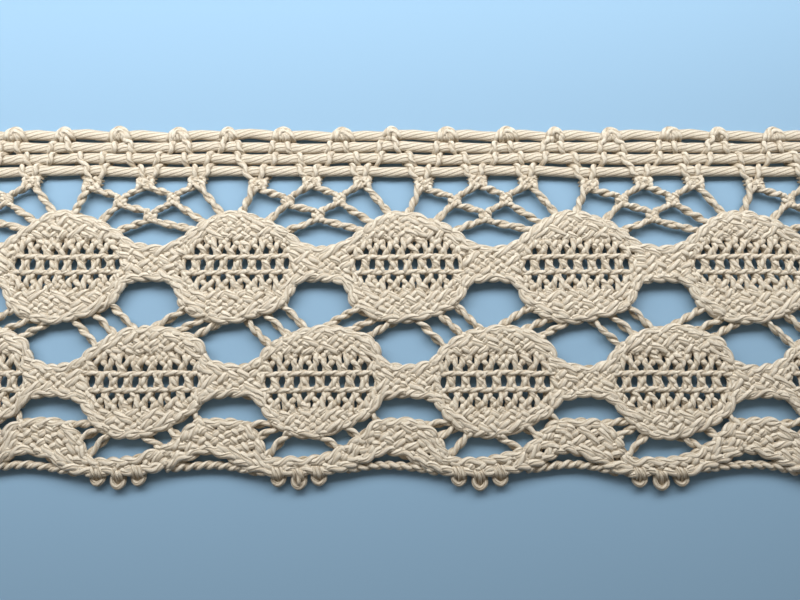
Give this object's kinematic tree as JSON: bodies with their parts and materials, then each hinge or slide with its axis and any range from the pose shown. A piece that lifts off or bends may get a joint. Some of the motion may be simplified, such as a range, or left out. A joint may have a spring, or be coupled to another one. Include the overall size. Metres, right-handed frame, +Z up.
{
  "type": "lace trim",
  "caption": "Flat cut length of cotton bobbin lace trim: straight corded heading, trellis, two rows of openwork ovals joined by bridges, and a scalloped edge with picots.",
  "frame": {"origin": "on the surface that the trim lies on, under the middle of its length and width", "axes": "+X along the trim, +Y across it towards the straight heading, +Z up from the surface"},
  "size_m": [0.135, 0.0555, 0.0021],
  "materials": {
    "cotton": "soft mercerised cotton, ecru"
  },
  "bodies": {
    "root": {"lace_trim": "cotton"}
  },
  "joints": []
}
